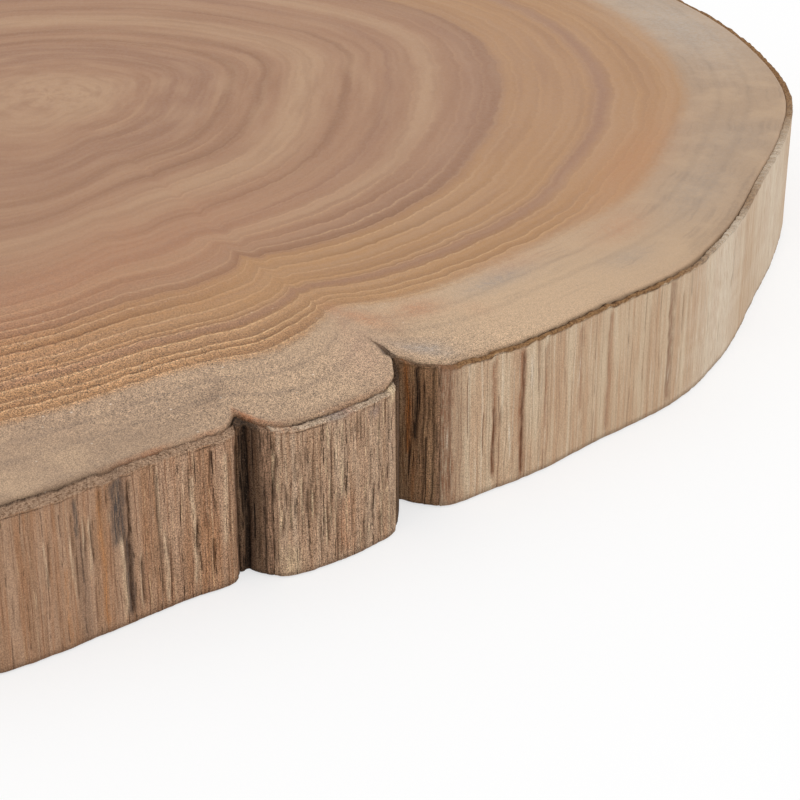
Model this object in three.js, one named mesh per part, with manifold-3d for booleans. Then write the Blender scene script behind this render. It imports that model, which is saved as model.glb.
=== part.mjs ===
// A cutting board sliced across a fluted teak trunk, with its natural edge left on.
// The wood is one slab. Inner bark still covers its lobes, and dark old bark lines the folds between them.
// Millimetres, +Z up, lying on z = 0, with the deep fold and its crack towards -Y.
import * as THREE from 'three';
import { mergeVertices } from 'three/addons/utils/BufferGeometryUtils.js';
import Module from 'manifold-3d';

// The slice of wood.
const BOARD_THICKNESS = 25.4;
const TRUNK_RADIUS = 150; // from the pith to the outside of the bark, on a middling bearing
const EDGE_EASE = 0.7; // sanded rounding along the slab's upper and lower edges

// The folds between its lobes.
const FOLD_DEPTH = 5;
const FOLD_REACH = 8; // arc length over which a lobe bends into a fold

// The bark that is left on it.
const BARK_THICKNESS = 2;
const CAMBIUM_GAP = 0.3; // parting line between the wood and its bark
const BARK_END_GAP = 0.3; // parting between two neighbouring pieces of bark
const BARK_TOP_DROP = 0.4; // the bark's upper edge lies this much under the sanded face
const BARK_FOOT = 0.3; // the bark ends this much above the table
const BARK_EASE = 0.25; // worn edges of the inner bark
const LARGEST_EASE_SHARE = 1 / 3; // of the bark's thickness, where the bark is thin
const FOLD_BARK_DEPTH = 0.8; // how much deeper a fold goes in the wood than in the bark that lines it

// The radial crack at the deep fold.
const CRACK_MOUTH = 0.9;
const CRACK_LENGTH = 10;

// Spacing of the outline's points: degrees along the lobes, arc length inside the folds.
const LOBE_STEP = 2.5;
const FOLD_STEP = 0.6;
const END_MARGIN = 1.2; // no point this close to a bark strip's end, so that its eased corner stays clean

// The lobes, counter-clockwise, as shares of the sizes above. A bearing is in degrees from +X about the
// pith, and each crest pair is a bearing and a share of the trunk's radius. The fold that ends a lobe has
// its bearing, its depth, and how far the lobes before and after it bend into it.
// Each piece of its bark runs from one share of the reach to another, counted from the fold's root.
const LOBE_SHARES = [
  {
    name: 'front_left',
    bark: 1.3,
    crest: [
      [-122, 1.12], [-110, 1.17], [-102, 1.193], [-96, 1.199], [-90, 1.183], [-84, 1.143],
      [-80, 1.1], [-76, 1.06], [-72.5, 1.038],
    ],
    fold: {
      name: 'front_shallow', bearing: -71.15, depth: 0.9, before: 0.5, after: 0.75, bark: [[-0.1, 0.425]],
    },
  },
  {
    name: 'front',
    bark: 1,
    crest: [[-69, 1.04], [-66, 1.033], [-63, 1.016]],
    fold: {
      name: 'front_deep', bearing: -59.6, depth: 1.6, before: 0.925, after: 1,
      bark: [[-0.5, -0.05], [0.05, 0.6]],
    },
  },
  {
    name: 'right',
    bark: 0.5,
    crest: [
      [-57, 0.989], [-50, 0.987], [-44, 0.983], [-36, 0.997], [-28, 0.992], [-18, 0.984], [-9, 0.999],
      [0, 1.02], [12, 1.024], [25, 1.024],
    ],
    fold: { name: 'right_rear', bearing: 44, depth: 1, before: 0.875, after: 0.75, bark: [[-0.3, 0.375]] },
  },
  {
    name: 'rear_right',
    bark: 0.8,
    crest: [[58, 1.007], [72, 1.02], [86, 1.013]],
    fold: { name: 'rear', bearing: 97, depth: 1.4, before: 1, after: 0.875, bark: [[-0.375, 0.375]] },
  },
  {
    name: 'rear_left',
    bark: 1,
    crest: [[112, 1.017], [128, 1.033], [143, 1.027]],
    fold: { name: 'left_rear', bearing: 156, depth: 1.1, before: 0.8, after: 1, bark: [[-0.3, 0.375]] },
  },
  {
    name: 'left',
    bark: 1.1,
    crest: [[172, 1.02], [190, 1.04], [208, 1.06]],
    fold: { name: 'left_front', bearing: 226, depth: 1.2, before: 1, after: 1, bark: [[-0.375, 0.375]] },
  },
];

// Finishes.
const TEAK = { color: 0xb08a68, roughness: 0.55, metalness: 0 };
const INNER_BARK = { color: 0xa8896c, roughness: 0.85, metalness: 0 };
const OLD_BARK = { color: 0x3a2c20, roughness: 0.95, metalness: 0 };

const FULL_TURN = 360;
const wasm = await Module();
wasm.setup();

// The lobes in millimetres.
const lobes = LOBE_SHARES.map(({ name, bark, crest, fold }) => ({
  name,
  bark: bark * BARK_THICKNESS,
  crest: crest.map(([bearing, share]) => [bearing, share * TRUNK_RADIUS]),
  fold: {
    name: fold.name,
    bearing: fold.bearing,
    depth: fold.depth * FOLD_DEPTH,
    before: fold.before * FOLD_REACH,
    after: fold.after * FOLD_REACH,
    bark: fold.bark.map(([start, end]) => [start * FOLD_REACH, end * FOLD_REACH]),
  },
}));

// The trunk's outside as a smooth closed curve through the crests, before the folds are pressed in.
const crests = lobes.flatMap((lobe) => lobe.crest);
const closedCrests = [
  ...crests.slice(-2).map(([bearing, radius]) => [bearing - FULL_TURN, radius]),
  ...crests,
  ...crests.slice(0, 2).map(([bearing, radius]) => [bearing + FULL_TURN, radius]),
];
const trunkCurve = new THREE.CubicInterpolant(
  closedCrests.map(([bearing]) => bearing),
  closedCrests.map(([, radius]) => radius),
  1,
);

function trunkRadius(bearing) {
  return trunkCurve.evaluate(bearing)[0];
}

// The fold before a lobe. The first lobe starts at the last fold, one turn back.
function foldBefore(index) {
  const { fold } = lobes.at(index - 1);
  return index > 0 ? fold : { ...fold, bearing: fold.bearing - FULL_TURN };
}

// Arc length from a fold's root to a bearing, and back again.
function arcFromFold(bearing, fold) {
  const half = FULL_TURN / 2;
  const turn = THREE.MathUtils.euclideanModulo(bearing - fold.bearing + half, FULL_TURN) - half;
  return THREE.MathUtils.degToRad(turn) * trunkRadius(fold.bearing);
}

function bearingAtArc(fold, arc) {
  return fold.bearing + THREE.MathUtils.radToDeg(arc / trunkRadius(fold.bearing));
}

// How far the folds are pressed in at a bearing: each lobe bends into a fold along a parabola.
function foldDip(bearing, extraDepth) {
  let dip = 0;
  for (const { fold } of lobes) {
    const arc = arcFromFold(bearing, fold);
    const reach = arc < 0 ? fold.before : fold.after;
    const closeness = Math.max(0, 1 - Math.abs(arc) / reach);
    dip += (fold.depth + extraDepth) * closeness ** 2;
  }
  return dip;
}

// Bark thickness: one value on each lobe, blended across the folds.
function barkThickness(bearing) {
  const lastFold = lobes.at(-1).fold.bearing;
  const turned = lastFold - THREE.MathUtils.euclideanModulo(lastFold - bearing, FULL_TURN);
  for (let index = 0; index < lobes.length; index += 1) {
    const { bark, fold } = lobes[index];
    const next = lobes[(index + 1) % lobes.length];
    const blend = THREE.MathUtils.smoothstep(arcFromFold(bearing, fold), -fold.before, fold.after);
    if (blend > 0 && blend < 1) {
      return THREE.MathUtils.lerp(bark, next.bark, blend);
    }
  }
  return lobes.find((lobe) => turned <= lobe.fold.bearing).bark;
}

// Radius of the bark's outside and of the wood inside it.
function outerRadius(bearing) {
  return trunkRadius(bearing) - foldDip(bearing, 0);
}

function woodRadius(bearing) {
  return trunkRadius(bearing) - foldDip(bearing, FOLD_BARK_DEPTH) - barkThickness(bearing) - CAMBIUM_GAP;
}

function polarPoint(bearing, radius) {
  const angle = THREE.MathUtils.degToRad(bearing);
  return new THREE.Vector2(radius * Math.cos(angle), radius * Math.sin(angle));
}

// Evenly spaced values from start to end, without the end.
function steps(start, end, largestStep) {
  const count = Math.ceil((end - start) / largestStep);
  return Array.from({ length: count }, (_, step) => start + ((end - start) * step) / count);
}

// Bearings of the outline's points: even along each lobe, closer together through the fold that ends it.
const outlineBearings = lobes.flatMap(({ fold }, index) => {
  const previous = foldBefore(index);
  const start = bearingAtArc(previous, previous.after);
  const end = bearingAtArc(fold, -fold.before);
  const foldArcs = [...steps(-fold.before, 0, FOLD_STEP), ...steps(0, fold.after, FOLD_STEP)];
  return [...steps(start, end, LOBE_STEP), ...foldArcs.map((arc) => bearingAtArc(fold, arc))];
});

// A flat outline raised to a solid between two heights, with its upper and lower edges eased.
function raise(shape, bottom, top, ease) {
  const geometry = new THREE.ExtrudeGeometry(shape, {
    depth: top - bottom - 2 * ease,
    bevelEnabled: ease > 0,
    bevelThickness: ease,
    bevelSize: ease,
    bevelOffset: -ease,
    bevelSegments: 2,
  });
  return geometry.translate(0, 0, bottom + ease);
}

// Mesh to solid and back, for the crack's cut.
function toSolid(geometry) {
  const bare = geometry.clone();
  bare.deleteAttribute('normal');
  bare.deleteAttribute('uv');
  const merged = mergeVertices(bare);
  const mesh = new wasm.Mesh({
    numProp: 3,
    vertProperties: merged.attributes.position.array,
    triVerts: merged.index.array,
  });
  return new wasm.Manifold(mesh);
}

function toGeometry(solid) {
  const mesh = solid.getMesh();
  const geometry = new THREE.BufferGeometry();
  geometry.setAttribute('position', new THREE.BufferAttribute(mesh.vertProperties, 3));
  geometry.setIndex(new THREE.BufferAttribute(mesh.triVerts, 1));
  geometry.computeVertexNormals();
  return geometry;
}

// The slice of wood, with a crack that tapers from the deep fold's root towards the pith.
function slabGeometry() {
  const outline = outlineBearings.map((bearing) => polarPoint(bearing, woodRadius(bearing)));
  const slab = raise(new THREE.Shape(outline), 0, BOARD_THICKNESS, EDGE_EASE);

  const { fold } = lobes.find((lobe) => lobe.fold.bark.length > 1); // the crack parts this fold's bark
  const root = woodRadius(fold.bearing);
  const wedge = new THREE.Shape([
    new THREE.Vector2(root - CRACK_LENGTH, 0),
    new THREE.Vector2(root, -CRACK_MOUTH / 2),
    new THREE.Vector2(root + fold.depth, -CRACK_MOUTH / 2),
    new THREE.Vector2(root + fold.depth, CRACK_MOUTH / 2),
    new THREE.Vector2(root, CRACK_MOUTH / 2),
  ]);
  const crack = raise(wedge, -BOARD_THICKNESS, 2 * BOARD_THICKNESS, 0);
  crack.rotateZ(THREE.MathUtils.degToRad(fold.bearing));
  return toGeometry(toSolid(slab).subtract(toSolid(crack)));
}

// A strip of bark between two bearings, outside the wood.
function barkGeometry(from, to, ease) {
  const endMargin = THREE.MathUtils.radToDeg(END_MARGIN / trunkRadius(from));
  const twoTurns = [...outlineBearings.map((bearing) => bearing - FULL_TURN), ...outlineBearings];
  const between = twoTurns.filter((bearing) => bearing > from + endMargin && bearing < to - endMargin);
  const run = [from, ...between, to];
  const outside = run.map((bearing) => polarPoint(bearing, outerRadius(bearing)));
  const inside = run.map((bearing) => polarPoint(bearing, woodRadius(bearing) + CAMBIUM_GAP));
  const shape = new THREE.Shape([...outside, ...inside.reverse()]);
  return raise(shape, BARK_FOOT, BOARD_THICKNESS - BARK_TOP_DROP, ease);
}

function piece(name, geometry, finish) {
  const mesh = new THREE.Mesh(geometry, new THREE.MeshStandardMaterial(finish));
  mesh.name = name;
  return mesh;
}

const board = new THREE.Group();
board.add(piece('teak_slab', slabGeometry(), TEAK));

lobes.forEach(({ name, bark, fold }, index) => {
  const previous = foldBefore(index);
  const ease = Math.min(BARK_EASE, bark * LARGEST_EASE_SHARE);
  const from = bearingAtArc(previous, previous.bark.at(-1)[1] + BARK_END_GAP);
  const to = bearingAtArc(fold, fold.bark[0][0] - BARK_END_GAP);
  board.add(piece(`inner_bark_${name}`, barkGeometry(from, to, ease), INNER_BARK));
  fold.bark.forEach(([start, end], side) => {
    const suffix = fold.bark.length > 1 ? `_${side + 1}` : '';
    const geometry = barkGeometry(bearingAtArc(fold, start), bearingAtArc(fold, end), 0);
    board.add(piece(`fold_bark_${fold.name}${suffix}`, geometry, OLD_BARK));
  });
});

// The frame's origin is under the middle of the board.
const box = new THREE.Box2().setFromPoints(
  outlineBearings.map((bearing) => polarPoint(bearing, outerRadius(bearing))),
);
const middle = box.getCenter(new THREE.Vector2());
board.position.set(-middle.x, -middle.y, 0);

export default board;
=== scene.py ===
"""Dressed model of a live-edge teak cutting board: one slice across a fluted trunk, with its bark left on.

Lengths in the classes are millimetres and bearings are degrees from +X about the pith, unless a name says
otherwise. Meshes reach Blender in metres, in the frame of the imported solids, and take their outlines from them.
"""

import logging
import math
from collections.abc import Callable
from dataclasses import dataclass, replace
from enum import Enum
from functools import partial
from typing import Any

import bmesh
import bpy
import numpy as np
from numpy.typing import NDArray
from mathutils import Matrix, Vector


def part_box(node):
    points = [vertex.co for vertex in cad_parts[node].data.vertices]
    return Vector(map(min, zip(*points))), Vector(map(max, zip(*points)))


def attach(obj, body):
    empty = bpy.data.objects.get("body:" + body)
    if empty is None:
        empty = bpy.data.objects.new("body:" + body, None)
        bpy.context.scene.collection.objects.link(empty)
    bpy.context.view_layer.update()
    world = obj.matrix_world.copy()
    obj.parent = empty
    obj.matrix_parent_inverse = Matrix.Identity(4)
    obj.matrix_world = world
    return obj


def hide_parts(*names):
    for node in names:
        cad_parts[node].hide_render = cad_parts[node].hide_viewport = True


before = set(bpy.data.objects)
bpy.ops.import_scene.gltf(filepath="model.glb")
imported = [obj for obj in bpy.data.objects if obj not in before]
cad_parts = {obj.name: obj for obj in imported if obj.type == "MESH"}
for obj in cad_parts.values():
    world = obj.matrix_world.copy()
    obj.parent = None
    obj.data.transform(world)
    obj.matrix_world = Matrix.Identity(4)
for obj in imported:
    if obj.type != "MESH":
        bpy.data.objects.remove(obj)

Array = NDArray[np.float64]
Table = tuple[tuple[float, float], ...]
Socket = bpy.types.NodeSocket
Adder = Callable[..., Socket]

LOG = logging.getLogger("teak_board")
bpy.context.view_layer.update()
MM = 0.001
PITH = np.array([0.628, 13.573])
FULL_TURN = 360.0
MERGED = 0.001  # points closer than this are one


def linear(colour: str) -> tuple[float, float, float, float]:
    """Turns an sRGB hex colour into linear light.

    Args:
        colour: Hex colour such as "#B08A68".

    Returns:
        Linear red, green and blue, and an alpha of 1.
    """
    channels = np.array([int(colour[start:start + 2], 16) for start in (1, 3, 5)]) / 255
    light = np.where(channels <= 0.04045, channels / 12.92, ((channels + 0.055) / 1.055) ** 2.4)
    return (*light.tolist(), 1.0)


def add_node(
    tree: bpy.types.NodeTree, kind: str, inputs: Any = (), output: str = "", **settings: Any
) -> Socket | None:
    """Adds a shader node with its settings, and links or fills its inputs.

    Args:
        tree: Node tree that gets the node.
        kind: Node type without its ShaderNode prefix.
        inputs: Sockets to link or values to set, by socket name, or in the order of the sockets in use.
        output: Name of the output to give back; the first one in use if empty.
        **settings: Properties of the node.

    Returns:
        That output, or None from a node without outputs.
    """
    node = tree.nodes.new(f"ShaderNode{kind}")
    for name, value in settings.items():
        setattr(node, name, value)
    if isinstance(inputs, dict):
        pairs = [(node.inputs[name], value) for name, value in inputs.items()]
    else:
        pairs = list(zip([socket for socket in node.inputs if socket.enabled], inputs))
    for socket, value in pairs:
        if isinstance(value, Socket):
            tree.links.new(value, socket)
        else:
            socket.default_value = value
    return node.outputs[output] if output else next((socket for socket in node.outputs if socket.enabled), None)


def new_material(name: str) -> tuple[bpy.types.Material, Adder]:
    """Makes a material with an empty node tree.

    Args:
        name: Name of the material.

    Returns:
        The material, and a function that adds nodes to it.
    """
    material = bpy.data.materials.new(name)
    material.use_nodes = True
    material.node_tree.nodes.clear()
    return material, partial(add_node, material.node_tree)


def lay_over(add: Adder, finish: Any, kinds: type[Enum], broken: Socket, colour: Socket) -> Socket:
    """Lays patches of other colours over a colour.

    Args:
        add: Adds nodes to the material.
        finish: Finish that has a colour under the name of each kind's attribute.
        kinds: Kinds of patches; each value is the attribute that says where they are.
        broken: Noise that breaks them up.
        colour: Colour below them.

    Returns:
        The colour with all the patches.
    """
    for kind in kinds:
        much = add("Attribute", output="Fac", attribute_name=kind.value)
        much = add("Math", [much, broken], operation="MULTIPLY", use_clamp=True)
        colour = add("Mix", [much, colour, linear(getattr(finish, kind.value))], data_type="RGBA")
    return colour


def smoothstep(low: float, high: float, value: Array) -> Array:
    """Rises from 0 where the value is low to 1 where it is high, with level ends."""
    share = np.clip((value - low) / (high - low), 0, 1)
    return share * share * (3 - 2 * share)


def lattice(column: Array, row: Array, seed: int) -> Array:
    """Gives each whole-numbered lattice point its own fixed value.

    The point's two numbers are multiplied by large primes, and the bits of their sum are mixed.

    Args:
        column: First whole number of each point.
        row: Second whole number of each point.
        seed: Number that picks another set of values.

    Returns:
        Values from -1 to 1.
    """
    mixed = column.astype(np.int64) * 374761393 + row.astype(np.int64) * 668265263 + seed * 974634777
    mixed &= 0xFFFFFFFF
    mixed = ((mixed ^ (mixed >> 13)) * 1274126177) & 0xFFFFFFFF
    return ((mixed ^ (mixed >> 16)) & 0xFFFF) / 32767.5 - 1


def noise(across: Array, along: Array, seed: int) -> Array:
    """Smooth noise: the values of the four lattice points round a place, blended with smooth weights.

    Args:
        across: First coordinate, one lattice step per unit.
        along: Second coordinate, one lattice step per unit.
        seed: Number that picks another pattern.

    Returns:
        Values from -1 to 1.
    """
    across, along = np.broadcast_arrays(across, along)
    column, row = np.floor(across), np.floor(along)
    right, up = smoothstep(0, 1, across - column), smoothstep(0, 1, along - row)
    low = lattice(column, row, seed) * (1 - right) + lattice(column + 1, row, seed) * right
    high = lattice(column, row + 1, seed) * (1 - right) + lattice(column + 1, row + 1, seed) * right
    return low * (1 - up) + high * up


def curve_through(place: Array, knots: Array, values: Array) -> Array:
    """Smooth curve through points: cubic pieces that share their slope at each point.

    Args:
        place: Where to read the curve.
        knots: Rising places of the points.
        values: The curve's values there.

    Returns:
        The curve's value at each place.
    """
    slopes = np.gradient(values, knots)
    left = np.clip(np.searchsorted(knots, place) - 1, 0, len(knots) - 2)
    span = knots[left + 1] - knots[left]
    share = np.clip((place - knots[left]) / span, 0, 1)
    start = (1 + 2 * share) * (1 - share) ** 2 * values[left] + share * (1 - share) ** 2 * span * slopes[left]
    end = share**2 * (3 - 2 * share) * values[left + 1] + share**2 * (share - 1) * span * slopes[left + 1]
    return start + end


def read_off(table: Table, place: Array) -> Array:
    """Reads a table of rising places and values in straight lines; past its ends it keeps its last value."""
    return np.interp(place, *np.array(table, float).T)


def read_round(table: Table, bearing: Array) -> Array:
    """Reads a table of bearings and values as a smooth curve that closes round the pith."""
    return PolarEdge.closed(*np.array(table, float).T).at(bearing)


def turned_near(bearing: Array, middle: float) -> Array:
    """Turns bearings by whole turns until they lie within half a turn of a middle bearing."""
    return middle + (bearing - middle + FULL_TURN / 2) % FULL_TURN - FULL_TURN / 2


def waist_corners(node: str) -> tuple[Array, Array]:
    """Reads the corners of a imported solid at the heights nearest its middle, where its wall stands full.

    Args:
        node: Name of the solid.

    Returns:
        Bearings and radii about the pith of the corners, each place once.
    """
    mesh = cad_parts[node].data
    flat = np.empty(3 * len(mesh.vertices), np.float32)
    mesh.vertices.foreach_get("co", flat)
    corners = flat.reshape(-1, 3).astype(float) / MM
    from_middle = np.abs(corners[:, 2] - (corners[:, 2].min() + corners[:, 2].max()) / 2)
    tolerance, decimals = 0.01, 3
    level = corners[from_middle < from_middle.min() + tolerance, :2] - PITH
    level = np.unique(np.round(level, decimals), axis=0)
    return np.degrees(np.arctan2(level[:, 1], level[:, 0])), np.hypot(level[:, 0], level[:, 1])


@dataclass
class PolarEdge:
    """An edge seen from the pith: one radius for each bearing.

    Attributes:
        bearings: Rising bearings of the edge's points.
        radii: Distances of the points from the pith.
    """

    bearings: Array
    radii: Array

    @classmethod
    def closed(cls, bearings: Array, radii: Array) -> "PolarEdge":
        """Makes an edge that goes all the way round.

        Args:
            bearings: Bearings of its points, in any order.
            radii: Radii of its points.

        Returns:
            The edge, repeated for one turn before and after.
        """
        order = np.argsort(bearings)
        turns = [bearings[order] + turn for turn in (-FULL_TURN, 0, FULL_TURN)]
        return cls(np.concatenate(turns), np.tile(radii[order], 3))

    def at(self, bearing: Array) -> Array:
        """Radius of the smooth edge at each bearing."""
        return curve_through(bearing, self.bearings, self.radii)


def slab_rim() -> PolarEdge:
    """Reads the wood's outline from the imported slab, without the corners inside its crack.

    Returns:
        The closed outline.
    """
    bearings, radii = waist_corners("teak_slab")
    order = np.argsort(bearings)
    bearings, radii = bearings[order], radii[order]
    crack_step = 5.0  # a corner this much nearer the pith than both neighbours is the crack's tip
    inner = radii < np.minimum(np.roll(radii, 1), np.roll(radii, -1)) - crack_step
    return PolarEdge.closed(bearings[~inner], radii[~inner])


def grid_quads(rows: int, columns: int, closed_rows: bool) -> NDArray[np.int64]:
    """Corner numbers of the quads between the points of a grid stored row by row.

    Args:
        rows: Number of rows of points.
        columns: Number of points in a row.
        closed_rows: Whether the last row joins the first again.

    Returns:
        One line of four corner numbers for each quad.
    """
    row = np.arange(rows if closed_rows else rows - 1)[:, None]
    column = np.arange(columns - 1)[None, :]
    above = (row + 1) % rows
    low, high = row * columns + column, above * columns + column
    return np.stack([low, low + 1, high + 1, high], axis=-1).reshape(-1, 4)


def make_piece(
    name: str, points: Array, faces: list[list[int]], uv: dict[str, Array], attributes: dict[str, Array]
) -> bpy.types.Object:
    """Makes a closed, smooth-shaded mesh object at the origin.

    Args:
        name: Name of the piece.
        points: Points in millimetres, one line each.
        faces: Corner numbers of each face.
        uv: UV maps by name, one line of two numbers for each point.
        attributes: Numbers that the material reads, by name, one for each point.

    Returns:
        The object, linked to the scene, with doubled points merged and its faces turned outwards.
    """
    mesh = bpy.data.meshes.new(name)
    mesh.from_pydata(points * MM, [], faces)
    corner_points = np.empty(len(mesh.loops), np.int32)
    mesh.loops.foreach_get("vertex_index", corner_points)
    for map_name, places in uv.items():
        layer = mesh.uv_layers.new(name=map_name)
        layer.data.foreach_set("uv", places[corner_points].astype(np.float32).ravel())
    for attribute_name, values in attributes.items():
        attribute = mesh.attributes.new(attribute_name, "FLOAT", "POINT")
        attribute.data.foreach_set("value", values.astype(np.float32).ravel())
    work = bmesh.new()
    work.from_mesh(mesh)
    bmesh.ops.remove_doubles(work, verts=work.verts, dist=MERGED * MM)
    bmesh.ops.recalc_face_normals(work, faces=work.faces)
    work.to_mesh(mesh)
    work.free()
    mesh.shade_smooth()
    piece = bpy.data.objects.new(name, mesh)
    bpy.context.scene.collection.objects.link(piece)
    return piece


def drawn_in(bearing: Array) -> Array:
    """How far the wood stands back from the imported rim: on the far left the bark's upper edge is broad."""
    amount = ((-125, 0.0), (-100, 1.5), (-87, 1.5), (-82, 1.0), (-79, 0.4), (-76, 0.0))
    return read_off(amount, turned_near(bearing, -90.0))


class Tint(Enum):
    """Ways in which the wood's colour changes in patches: stains, and painted shade in and along the crack; each value
    is the attribute that holds it.
    """

    RUST = "rust"
    SLATE = "slate"
    # Umber stains; also painted shade along the crack, and darker bands just inside the rim.
    UMBER = "umber"
    # Painted shade: a near-black line along the crack, which also darkens its walls.
    CHAR = "char"
    ASH = "ash"
    DUSK = "dusk"
    BLUSH = "blush"


@dataclass(frozen=True)
class Stain:
    """A soft-edged patch of another colour on the end grain: a stain, or painted shade along the crack.

    Attributes:
        tint: What kind of patch it is.
        bearing: Direction of its middle from the pith.
        inset: Distance of its middle in from the rim.
        along: Half its length along the rings.
        across: Half its width across the rings.
        strength: How far the colour changes in its middle, from 0 to 1.
    """

    tint: Tint
    bearing: float
    inset: float
    along: float
    across: float
    strength: float


class Trace(Enum):
    """Traces on the bark's outside; each value is the attribute that holds it."""

    SHADE = "shade"
    GREY = "grey"
    RESIN = "resin"
    FIBRE = "fibre"
    SLIT = "slit"


@dataclass(frozen=True)
class Mark:
    """One upright trace on the bark.

    Attributes:
        trace: What kind of trace it is.
        bearing: Direction of the trace from the pith.
        width: Half its width.
        low: Height of its lower end, as a share of the bark's height.
        high: Height of its upper end, as a share of the bark's height.
        depth: How far it is sunk into the surface; less than nothing where it stands out.
        strength: How far the colour changes, from 0 to 1.
    """

    trace: Trace
    bearing: float
    width: float
    low: float
    high: float
    depth: float = 0.0
    strength: float = 1.0


def listed(maker: type, table: dict[Enum, tuple[tuple[float, ...], ...]]) -> tuple[Any, ...]:
    """Makes stains or marks from rows of numbers, in the order of their fields after the kind."""
    return tuple(maker(kind, *row) for kind, rows in table.items() for row in rows)


@dataclass(frozen=True)
class EndGrainTeak:
    """Oiled teak, sawn across the grain and sanded.

    Gives the eye golden-brown growth rings, each darkening outwards and ending at a thin pale line of early wood,
    in broader bands of tone, under a speckle of pores, with a paler and greyer band of sapwood outside.
    """

    pale: str = "#B79476"
    mid: str = "#A67F64"
    gold: str = "#B48A61"
    mauve: str = "#9E7860"
    brown: str = "#956F56"
    ring_dark: str = "#654226"
    ring_pale: str = "#DAB68B"
    sap_dull: str = "#A88D74"
    sap_clear: str = "#C4A687"
    sap_dark: str = "#84705F"
    rust: str = "#A2613A"
    slate: str = "#8C8885"
    # Colour of the umber stains, and of painted shade along the crack.
    umber: str = "#6F5846"
    # Near-black of the painted shade in the crack.
    char: str = "#21160E"
    ash: str = "#BEB8B0"
    dusk: str = "#A98671"
    blush: str = "#B88260"
    glint: str = "#F6EBDA"
    reference: float = 148.0
    # Where the tones lie, as shares of the way from the pith to the rim.
    tones: tuple[tuple[float, str], ...] = (
        (0.07, "pale"), (0.14, "mid"), (0.19, "mauve"), (0.24, "mauve"), (0.258, "mid"), (0.27, "brown"),
        (0.288, "mid"), (0.306, "mid"), (0.322, "brown"), (0.338, "mid"), (0.38, "pale"), (0.436, "mid"),
        (0.448, "brown"), (0.46, "mid"), (0.49, "mid"), (0.505, "mauve"), (0.525, "mid"), (0.55, "pale"),
        (0.585, "mid"), (0.61, "mauve"), (0.64, "brown"), (0.655, "gold"), (0.75, "gold"), (0.77, "mauve"),
        (0.79, "gold"),
    )
    # Where the growth rings start, as shares of the way from the pith to the rim.
    rings: tuple[float, ...] = (
        0.1, 0.15, 0.19, 0.23, 0.266, 0.295, 0.322, 0.36, 0.395, 0.425, 0.448, 0.478, 0.505, 0.535, 0.565, 0.595, 0.622,
        0.645, 0.6625, 0.6925, 0.7225, 0.75, 0.76, 0.785, 0.8125, 0.8275, 0.85, 0.865,
    )
    # Waves along the rings: length of a wave, how far in it keeps its shape, and how far it moves the ring.
    waves: tuple[tuple[float, float, float], ...] = ((45.0, 50.0, 1.2), (9.0, 20.0, 0.7), (2.6, 7.0, 0.3))

    # Sizes of the speckles: pores, groups of pores, and the pores in a line of early wood.
    pore: float = 0.14
    pore_group: float = 0.7
    early_pore: float = 0.45
    # Distance between the painted highlight glints.
    spark_spacing: float = 3.0
    # Size of the grains that break up the edges of stains.
    stain_grain: float = 0.9
    # Distances beyond the heartwood of the rings that part the inner, newly changing sapwood from the outer.
    sap_rings: tuple[float, ...] = (6.6, 12.5)

    def material(self) -> bpy.types.Material:
        """Builds the material.

        Returns:
            The finished material.
        """
        material, add = new_material("oiled_teak_end_grain")
        place = add("TexCoord", output="Object")
        share = add("SeparateXYZ", [add("UVMap", uv_map="growth")], "Y")
        grain = add("Attribute", output="Fac", attribute_name="grain")
        ring = self.wavy_rings(add, place, share)
        colour = self.heartwood(add, place, ring)
        colour = self.sapwood(add, place, ring, grain, colour)
        grains = {"Vector": place, "Scale": 1 / (self.stain_grain * MM), "Detail": 4.0, "Roughness": 0.75}
        broken = add("TexNoise", grains)
        broken = add("MapRange", [broken, 0.3, 0.65, 0.3, 1.0])
        colour = lay_over(add, self, Tint, broken, colour)

        # Pores and rays, cut across: a speckle of about their real size over a coarser, weaker one.
        pores = self.speckle(add, place, self.pore)
        groups = self.speckle(add, place, self.pore_group)
        specks = add("MapRange", [pores, 0.3, 0.7, -0.95, 1.1])
        clumps = add("MapRange", [groups, 0.3, 0.7, -0.12, 0.12])
        specks = add("Math", [specks, clumps], operation="ADD")
        gain = add("Math", [specks, grain, 1.0], operation="MULTIPLY_ADD")
        colour = add("VectorMath", [colour, gain], operation="SCALE")
        # Painted highlights: sparse near-white glints where the grain is crisp.
        sparks = add("TexVoronoi", {"Vector": place, "Scale": 1 / (self.spark_spacing * MM)}, "Distance")
        spark = add("MapRange", [sparks, 0.03, 0.07, 0.9, 0.0])
        spark = add("Math", [spark, grain], operation="MULTIPLY", use_clamp=True)
        colour = add("Mix", [spark, colour, linear(self.glint)], data_type="RGBA")

        bump = add("Bump", {"Strength": 0.2, "Distance": 0.06 * MM, "Height": pores})
        rough = add("MapRange", [groups, 0.3, 0.7, 0.55, 0.7])
        shader = add(
            "BsdfPrincipled", {"Base Color": colour, "Roughness": rough, "Specular IOR Level": 0.2, "Normal": bump}
        )
        add("OutputMaterial", {"Surface": shader})
        return material

    @staticmethod
    def speckle(add: Adder, place: Socket, size: float) -> Socket:
        """Noise in grains of one size, half as long again front to back.

        Args:
            add: Adds nodes to the material.
            place: Object coordinates.
            size: Size of the grains.

        Returns:
            The noise, from 0 to 1.
        """
        across, front_to_back = 1 / (size * MM), 1 / (1.5 * size * MM)
        spot = add("Mapping", {"Vector": place, "Scale": (across, front_to_back, across)})
        return add("TexNoise", {"Vector": spot, "Scale": 1.0, "Detail": 1.0, "Roughness": 0.6})

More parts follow.
